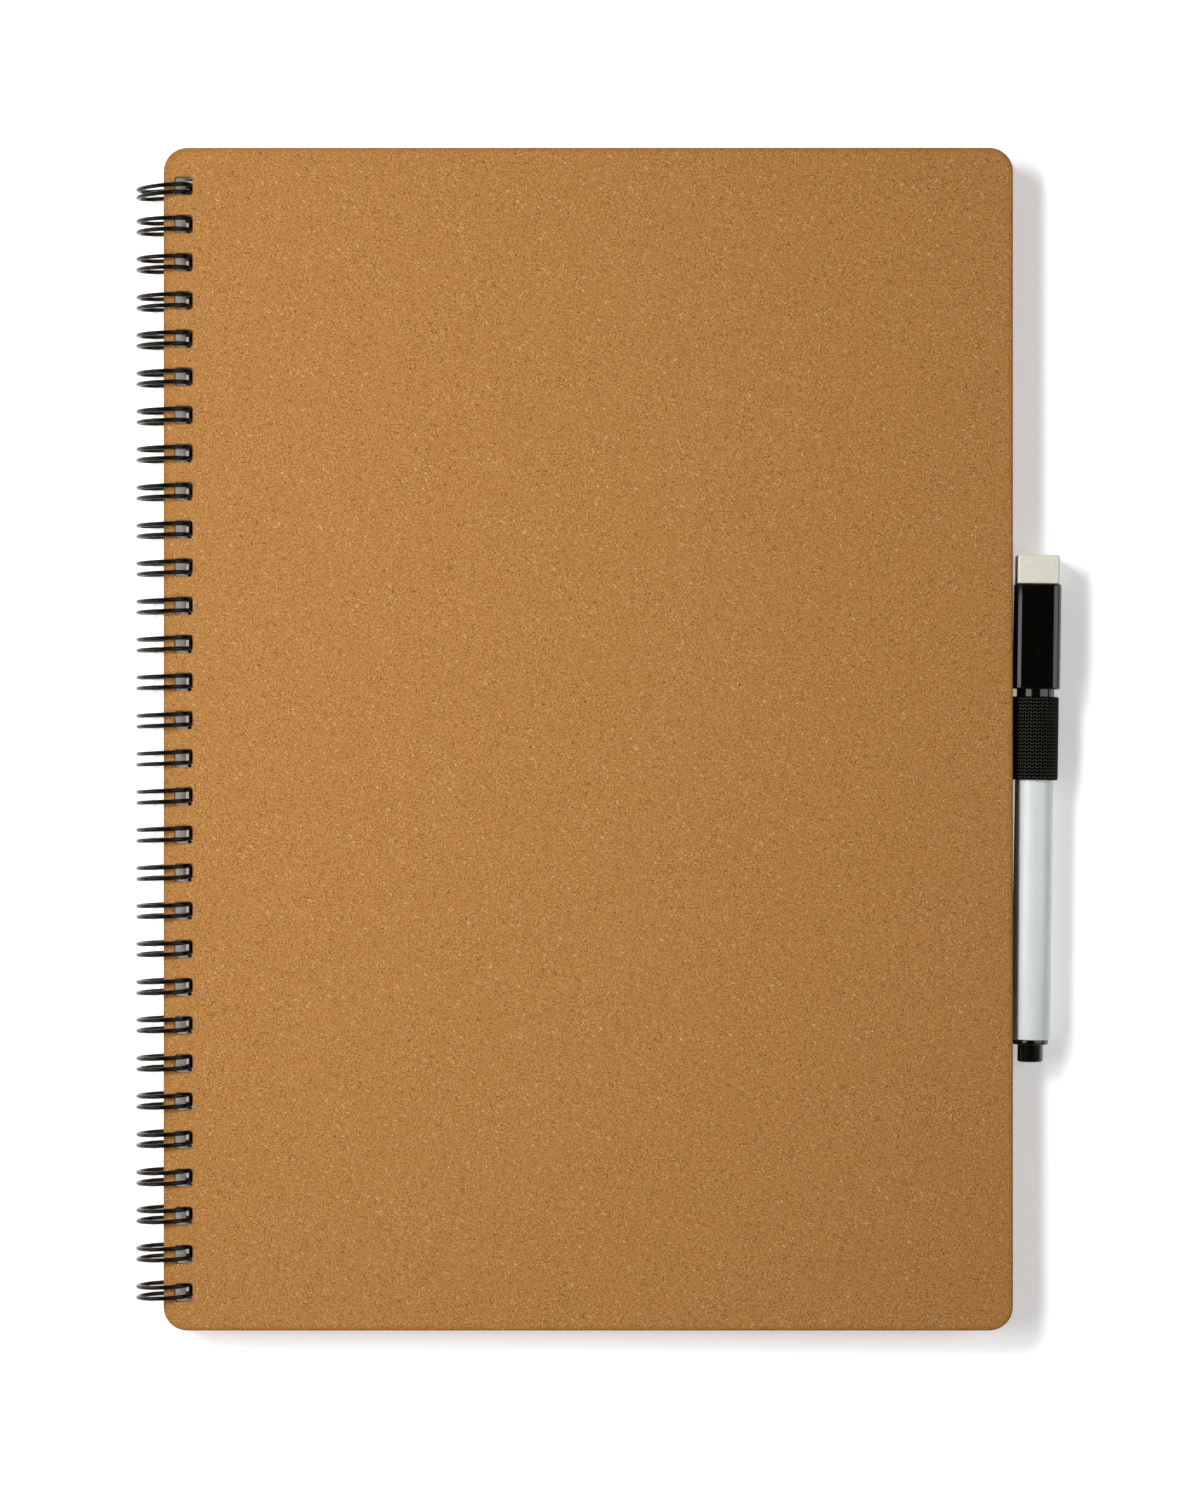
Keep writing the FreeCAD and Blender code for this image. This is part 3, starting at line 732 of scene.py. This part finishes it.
def wire_line(wire, board):
    """The middle line of the wire, and at each point the direction away from the rings' axis.

    Each double loop is drawn flat, as an angle round the ring and a place along the spine:
    a quarter bend leads from the spine bar into a strand, the strand runs round the ring to
    a U, and the same comes back mirrored. Rolling it up on the ring's radius gives x and z.
    A loop's y then moves in proportion to x, so that the loop leans, and loops differ."""
    low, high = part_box("back_cover")
    middles = hole_places(board, low, high)[:, 1:]
    half, bend = wire.spacing / 2, wire.bend
    spine, tip = wire.spine_angle + math.tau, wire.tip_angle
    corner, bow = arc(0, 90, 6), arc(-90, 0, 7)
    strand = np.linspace(spine, tip, 60)[1:-1]
    angle = np.concatenate([
        spine + bend / RING_RADIUS * np.cos(corner), strand, tip - half / RING_RADIUS * np.cos(bow),
    ])
    aside = np.concatenate([
        -half - bend * (1 - np.sin(corner)), np.full(len(strand), -half), half * np.sin(bow),
    ])
    angle = np.concatenate([angle, angle[-2::-1]])
    aside = np.concatenate([aside, -aside[-2::-1]])

    random = np.random.default_rng(7)
    shift = random.uniform(-1, 1, (len(middles), 1)) * wire.wander
    lean = math.tan(wire.lean) + random.uniform(-0.006, 0.006, (len(middles), 1))
    shift[-1] -= wire.first_shift
    lean[-1] += math.tan(wire.first_lean)
    width = np.ones((len(middles), 1))
    width[-1] -= wire.first_squeeze
    out = RING_RADIUS * np.cos(angle)
    y = middles + shift + width * aside + lean * out
    x = np.broadcast_to(RING_X + out, y.shape)
    z = np.broadcast_to(RING_Z + RING_RADIUS * np.sin(angle), y.shape)
    outward = np.stack([np.cos(angle), np.zeros(len(angle)), np.sin(angle)], -1)
    return np.stack([x, y, z], -1).reshape(-1, 3), np.tile(outward, (len(middles), 1))


def tube(name, line, outward, radius, around):
    """A round skin along a line. Across each point lie the directions outward and sideways,
    and the ring's points are radius * (cos a * outward + sin a * sideways) from it."""
    onward = np.gradient(line, axis=0)
    sideways = np.cross(onward, outward)
    sideways /= np.linalg.norm(sideways, axis=1, keepdims=True)
    lift = np.cross(sideways, onward)
    lift /= np.linalg.norm(lift, axis=1, keepdims=True)
    angle = np.linspace(0, math.tau, around, endpoint=False)[None, :, None]
    ring = np.cos(angle) * lift[:, None] + np.sin(angle) * sideways[:, None]
    return loft(name, line[:, None] + radius * ring)


class BOOK_OT_wire(bpy.types.Operator):
    """Bend the one long binding wire into its double loops"""

    bl_idname = "book.wire"
    bl_label = "Binding wire"

    def execute(self, context):
        wire = context.scene.book_wire
        line, outward = wire_line(wire, context.scene.book_board)
        piece = tube("binding_wire", line, outward, wire.thickness / 2, 12)
        install(piece, "binding", "wire_binding", wire_finish())
        return {"FINISHED"}


# ---------------------------------------------------------------- elastic loop and patch


def strap_line(strap, mid):
    """The strap's middle line across the marker's axis, with its outer direction: along the
    lower end, round a fold into the ring, round the barrel, and round a second fold into
    the upper end. A fold is an arc that touches both an end's line and the ring, so its
    middle is a fold radius from the line and ring radius plus fold radius from the axis."""
    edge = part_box("back_cover")[1]
    beside = PEN_TIP[0] - PEN_TIP[1] * PEN_ALONG[0] / PEN_ALONG[1] - edge.x
    lower = edge.z + strap.sheet / 2 - PEN_TIP[2]
    upper = lower + strap.sheet
    fold = strap.fold

    def fold_middle(height):
        return np.array([-math.sqrt((mid + fold) ** 2 - height**2), height])

    first, second = fold_middle(lower - fold), fold_middle(upper + fold)
    into, out_of = math.atan2(-first[1], -first[0]), math.atan2(-second[1], -second[0])
    first_arc, second_arc = np.linspace(math.pi / 2, into, 9), np.linspace(out_of, -math.pi / 2, 9)
    ring = np.linspace(into + math.pi, out_of + 3 * math.pi, 300)[1:-1]

    def circle(angle, radius):
        return radius * np.stack([np.cos(angle), np.sin(angle)], -1)

    lower_end = np.stack([np.linspace(-beside - strap.tail, first[0], 30), np.full(30, lower)], -1)
    upper_end = np.stack([np.linspace(second[0], -beside - strap.overlap, 10), np.full(10, upper)], -1)
    line = np.concatenate([
        lower_end[:-1], first + circle(first_arc, fold), circle(ring, mid),
        second + circle(second_arc, fold), upper_end[1:],
    ])
    onward = np.gradient(line, axis=0)
    onward /= np.linalg.norm(onward, axis=1, keepdims=True)
    return line, np.stack([onward[:, 1], -onward[:, 0]], -1)


def strap_section(half_width, half_sheet):
    """Points round the strap's section as (across the width, out from its middle): a finely
    divided outer face, half-round edges and a plain inner face."""
    reach = half_width - half_sheet
    face, back = np.linspace(-reach, reach, 150), np.linspace(reach, -reach, 14)
    edge = arc(90, -90, 8)[1:-1]
    across = np.concatenate([
        face, reach + half_sheet * np.cos(edge), back, -reach - half_sheet * np.cos(edge),
    ])
    out = np.concatenate([
        np.full(150, 1.0), np.sin(edge), np.full(14, -1.0), -np.sin(edge),
    ])
    return across, half_sheet * out


def make_strap(strap):
    """The woven strap: its section carried along its line. Slanting ribs stand in columns
    along the marker: their height is a cosine of the place along the column plus a triangle
    wave across the columns, which makes them zigzag, and it falls to nothing between one
    column and the next. The edges wave by a thread from column to column."""
    start, end = stations("pen_loop")
    mid = PEN_TIP[2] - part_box("pen_loop")[0].z - strap.sheet / 2
    line, outer = strap_line(strap, mid)
    across, out = strap_section((end - start) / 2, strap.sheet / 2)
    run = np.concatenate([[0], np.cumsum(np.linalg.norm(np.diff(line, axis=0), axis=1))])[:, None]
    column = run / strap.column
    zigzag = 2 * np.abs(column / 2 - np.floor(column / 2 + 0.5))
    ribs = 0.5 + 0.5 * np.cos(math.tau * (across / strap.rib + 0.85 * zigzag))
    ribs = ribs * np.abs(np.sin(math.pi * column)) ** 0.3
    facing = np.clip(out / (strap.sheet / 2), 0, 1)
    lifted = out - strap.relief * facing * (1 - ribs)
    side = np.sign(across) * np.clip((np.abs(across) / across.max() - 0.93) / 0.07, 0, 1)
    wavy = across - strap.scallop * side * np.abs(np.cos(math.pi * column))
    place = line[:, None] + lifted[..., None] * outer[:, None]
    piece = loft("elastic_loop", on_pen(place[..., 0], place[..., 1], (start + end) / 2 + wavy))
    # The rib heights, from which the elastic's material paints a highlight on the ribs' tops and shade in the
    # gaps, and sets its roughness.
    rise = np.where(facing > 0.5, ribs, 0.4)
    float_attribute(piece, "rise", np.append(rise.ravel(), [0.4, 0.4]))
    return piece


class BOOK_OT_strap(bpy.types.Operator):
    """Weave the elastic loop"""

    bl_idname = "book.strap"
    bl_label = "Elastic loop"

    def execute(self, context):
        strap = context.scene.book_strap
        install(make_strap(strap), "binding", "pen_loop", elastic_finish(strap))
        return {"FINISHED"}


class BOOK_OT_patch(bpy.types.Operator):
    """Give the patch over the strap's end its kraft paper"""

    bl_idname = "book.patch"
    bl_label = "Strap patch"

    def execute(self, context):
        kraft = kraft_finish(context.scene.book_board, "patch_paper", rim=False)
        dress(frame["nodes"]["loop_patch"], kraft)
        return {"FINISHED"}


# ---------------------------------------------------------------- marker

# How far from the axis a solid profile starts and ends, so that its end fans keep an area.
TINY = 0.02 * MM

INK_TONE = (0.012, 0.011, 0.013)
RESERVOIR_TONE = (0.10, 0.10, 0.12)


def make_plug(marker):
    """The end plug: a short finger grip, a flange and a spigot."""
    start, end = stations("end_plug")
    seat = stations("marker_barrel")[0]
    return turned("plug", [
        (TINY, start, 0),
        (marker.plug, start, 0.5 * MM),
        (marker.plug, marker.flange_start, 0.12 * MM),
        (marker.flange, marker.flange_start, 0.3 * MM),
        (marker.flange, seat, 0.06 * MM),
        (marker.spigot, seat, 0.06 * MM),
        (marker.spigot, end, 0.3 * MM),
        (TINY, end, 0),
    ])


def make_barrel(marker):
    """The barrel, a gently tapering tube with rounded lips."""
    start, end = stations("marker_barrel")
    middle = (start + end) / 2
    return turned("barrel", [
        (marker.bore, middle, 0),
        (marker.bore, start, 0.1 * MM),
        (marker.barrel_tail, start, 0.3 * MM),
        (marker.barrel_nose, end, 0.25 * MM),
        (marker.bore, end, 0.1 * MM),
        (marker.bore, middle + 1 * MM, 0),
    ], closed=True)


def make_section(marker):
    """The writing end: a spigot in the barrel, a collar for the cap and a cone."""
    start, end = stations("marker_section")
    seat = stations("marker_barrel")[1]
    middle = (start + end) / 2
    return turned("writing_end", [
        (marker.nib_bore, middle, 0),
        (marker.nib_bore, start, 0.1 * MM),
        (marker.spigot, start, 0.3 * MM),
        (marker.spigot, seat, 0.06 * MM),
        (marker.collar, seat, 0.2 * MM),
        (marker.collar, marker.collar_end, 0.4 * MM),
        (marker.cone_foot, marker.collar_end, 0.2 * MM),
        (marker.cone_nose, end, 0.3 * MM),
        (marker.nib_bore, end, 0.1 * MM),
        (marker.nib_bore, middle + 1 * MM, 0),
    ], closed=True)


def make_nib(marker):
    """The fibre nib, worn to a blunt point."""
    start, end = stations("marker_nib")
    return turned("nib", [
        (TINY, start, 0),
        (marker.nib, start, 0.1 * MM),
        (marker.nib, end - 1 * MM, 0.4 * MM),
        (marker.nib_point, end, 0.25 * MM),
        (TINY, end, 0),
    ])


def make_cap(marker):
    """The square cap: a stepped round bore, then the mouth, the outside and the felt's stud."""
    start, end = stations("marker_cap")
    seat = stations("felt_eraser")[0]
    low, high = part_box("marker_cap")
    half, edge = (high.z - low.z) / 2, marker.cap_edge
    bore = rounded_profile([
        (TINY, start + marker.inner_depth, 0),
        (marker.inner, start + marker.inner_depth, 0.5 * MM),
        (marker.inner, start + marker.mouth_depth, 0.1 * MM),
        (marker.mouth, start + marker.mouth_depth, 0.1 * MM),
        (marker.mouth, start, 0.12 * MM),
        (marker.mouth + 0.15 * MM, start, 0),
    ])
    outside = rounded_profile([
        (half - edge - 0.1 * MM, start, 0),
        (half, start, edge * 0.8),
        (half, seat, edge),
        (marker.stud + 0.5 * MM, seat, 0),
    ], steps=8)
    stud = rounded_profile([
        (marker.stud, seat, 0),
        (marker.stud, end, 0.2 * MM),
        (TINY, end, 0),
    ])
    return squared("cap", (bore, 1), (outside, marker.cap_corner), (stud, 0.6 * MM))


def make_felt(marker):
    """The felt block, hollow over the cap's stud: squares with worn corners, each in
    proportion to its place on the profile. Every point then moves along its normal by an
    uneven nap."""
    start, end = stations("felt_eraser")
    low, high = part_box("felt_eraser")
    half = (high.z - low.z) / 2
    socket, depth = marker.stud + 0.03 * MM, marker.stud_length + 0.1 * MM
    profile = evenly(rounded_profile([
        (TINY, start + depth, 0),
        (socket, start + depth, 0),
        (socket, start, 0),
        (half, start, 0.15 * MM),
        (half, end, marker.felt_corner),
        (TINY, end, 0),
    ]), 110, closed=False)
    unit = evenly(rounded_outline(1, 1, marker.felt_corner / half, 8)[0], 160)
    out, station = profile[:, :1], profile[:, 1:]
    piece = loft("felt_block", on_pen(out * unit[:, 0], out * unit[:, 1], station))
    mesh = piece.data
    points = mesh_points(mesh)
    normals = np.empty(points.size)
    mesh.vertex_normals.foreach_get("vector", normals)
    normals = normals.reshape(-1, 3)
    fuzz = nap(points, 0.25 * MM, 1.1 * MM, 3) + 0.6 * nap(points, 1.5 * MM, 4 * MM, 4)
    moved = points + normals * (marker.fuzz * (fuzz - 1))[:, None]
    mesh.vertices.foreach_set("co", moved.ravel())
    mesh.update()
    return piece


class BOOK_OT_marker(bpy.types.Operator):
    """Make the marker without its cap"""

    bl_idname = "book.marker"
    bl_label = "Marker"

    def execute(self, context):
        marker = context.scene.book_marker
        black = black_plastic_finish(marker, "black_plastic")
        ink = fibre_finish("nib_felt", INK_TONE, 4.0)
        core = fibre_finish("reservoir_fibre", RESERVOIR_TONE, 1.5, (MM, 8 * MM, MM))
        white = barrel_finish(marker)
        for make, node, slot, finish in (
            (make_plug, "end_plug", "black_plastic", black),
            (make_barrel, "marker_barrel", "white_barrel", white),
            (make_section, "marker_section", "black_plastic", black),
            (make_nib, "marker_nib", "nib_felt", ink),
        ):
            install(make(marker), "marker", node, finish)
        dress(frame["nodes"]["ink_reservoir"], core)
        return {"FINISHED"}


class BOOK_OT_cap(bpy.types.Operator):
    """Make the marker's cap and the felt eraser on its end"""

    bl_idname = "book.cap"
    bl_label = "Cap and eraser"

    def execute(self, context):
        marker = context.scene.book_marker
        black = black_plastic_finish(marker, "black_cap")
        felt = fibre_finish("eraser_felt", marker.felt_tone, 2.6)
        install(make_cap(marker), "cap", "marker_cap", black)
        install(make_felt(marker), "cap", "felt_eraser", felt)
        return {"FINISHED"}


# ---------------------------------------------------------------- stage


def make_floor(stage):
    """A flat square table top, far larger than the book, of 8 by 8 faces."""
    reach, faces = 3, 8
    row = faces + 1
    side = np.linspace(-reach, reach, row)
    x, y = np.meshgrid(side, side)
    cell = np.arange(faces * row).reshape(faces, row)[:, :faces].reshape(-1, 1)
    points = np.stack([x, y, np.zeros_like(x)], -1)
    floor = make_object("table", points, cell + np.array([0, 1, row + 1, row]))
    dress(floor, floor_finish(stage.floor, stage.glow))


def make_softbox(name, toward, distance, size, brightness):
    """A softbox that faces the book. With a power P it lights the table by
    P cos a / (pi d d), at a distance d and an angle a from upright. A white table looks
    1 / pi as bright as that, so the power is the wanted brightness times (pi d) squared
    over cos a."""
    toward = Vector(toward).normalized()
    light = bpy.data.lights.new(name, "AREA")
    light.shape = "RECTANGLE"
    light.size, light.size_y = size
    light.energy = brightness * (math.pi * distance) ** 2 / toward.z
    box = bpy.data.objects.new(name, light)
    box.location = toward * distance
    box.rotation_euler = toward.to_track_quat("Z", "Y").to_euler()
    bpy.context.scene.collection.objects.link(box)
    return box


def make_sky(brightness):
    """Faint fill from a white tent: dark overhead, where the camera stands, and at full
    brightness at the horizon. Its strength is brightness times (1 + overhead - z) of a
    direction."""
    overhead = 0.03
    world = bpy.data.worlds.new("white_tent")
    world.use_nodes = True
    nodes, links = world.node_tree.nodes, world.node_tree.links
    upright = nodes.new("ShaderNodeSeparateXYZ")
    links.new(nodes.new("ShaderNodeTexCoord").outputs["Generated"], upright.inputs[0])
    strength = nodes.new("ShaderNodeMath")
    strength.operation = "MULTIPLY_ADD"
    strength.inputs[1].default_value = -brightness
    strength.inputs[2].default_value = brightness * (1 + overhead)
    links.new(upright.outputs["Z"], strength.inputs[0])
    links.new(strength.outputs[0], nodes["Background"].inputs["Strength"])
    nodes["Background"].inputs["Color"].default_value = (1, 1, 1, 1)
    bpy.context.scene.world = world


def make_camera(stage):
    """A long lens that looks straight down on the front cover."""
    low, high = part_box("front_cover")
    lens = bpy.data.cameras.new("camera")
    lens.lens = stage.lens
    lens.clip_end = 20
    camera = bpy.data.objects.new("camera", lens)
    across = (low.x + high.x) / 2 + stage.camera_right
    along = (low.y + high.y) / 2 - stage.camera_down
    camera.location = (across, along, high.z + stage.camera_height)
    bpy.context.scene.collection.objects.link(camera)
    bpy.context.scene.camera = camera


class BOOK_OT_stage(bpy.types.Operator):
    """Set up the table, the lights and the camera"""

    bl_idname = "book.stage"
    bl_label = "Stage"

    def execute(self, context):
        stage = context.scene.book_stage
        make_floor(stage)
        key = make_softbox("key", (-0.7, 0.5, 1.0), 1.0, (0.3, 0.3), stage.key)
        key.visible_glossy = False
        strip = make_softbox("strip", (RING_X, 0.0, 0.25), 0.27, (0.36, 0.05), stage.strip)
        strip.visible_camera = strip.visible_glossy = False
        make_softbox("left", (-1.0, 0.0, 0.9), 0.8, (0.35, 0.7), stage.left)
        make_softbox("right", (1.0, 0.0, 0.75), 0.8, (0.35, 0.7), stage.right)
        make_sky(stage.sky)
        make_camera(stage)
        context.scene.view_settings.view_transform = "Standard"
        return {"FINISHED"}


# ---------------------------------------------------------------- add-on


OPERATORS = (
    BOOK_OT_stage, BOOK_OT_covers, BOOK_OT_leaves, BOOK_OT_wire, BOOK_OT_strap,
    BOOK_OT_patch, BOOK_OT_marker, BOOK_OT_cap,
)


class BOOK_PT_maker(bpy.types.Panel):
    """The book maker's pieces"""

    bl_idname = "BOOK_PT_maker"
    bl_label = "Wire-bound book"
    bl_space_type = "VIEW_3D"
    bl_region_type = "UI"
    bl_category = "Book"

    def draw(self, context):
        for operator in OPERATORS:
            self.layout.operator(operator.bl_idname)
        for name, group in GROUPS.items():
            box = self.layout.box()
            box.label(text=group.__doc__)
            for setting in group.__annotations__:
                box.prop(getattr(context.scene, name), setting)


def register():
    for kind in (*GROUPS.values(), *OPERATORS, BOOK_PT_maker):
        bpy.utils.register_class(kind)
    for name, group in GROUPS.items():
        setattr(bpy.types.Scene, name, PointerProperty(type=group))


def unregister():
    for name in GROUPS:
        delattr(bpy.types.Scene, name)
    for kind in (BOOK_PT_maker, *reversed(OPERATORS), *reversed(GROUPS.values())):
        bpy.utils.unregister_class(kind)


def main():
    """Makes every piece in order."""
    register()
    for operator in OPERATORS:
        group, name = operator.bl_idname.split(".")
        getattr(getattr(bpy.ops, group), name)()


if __name__ == "__main__":
    main()
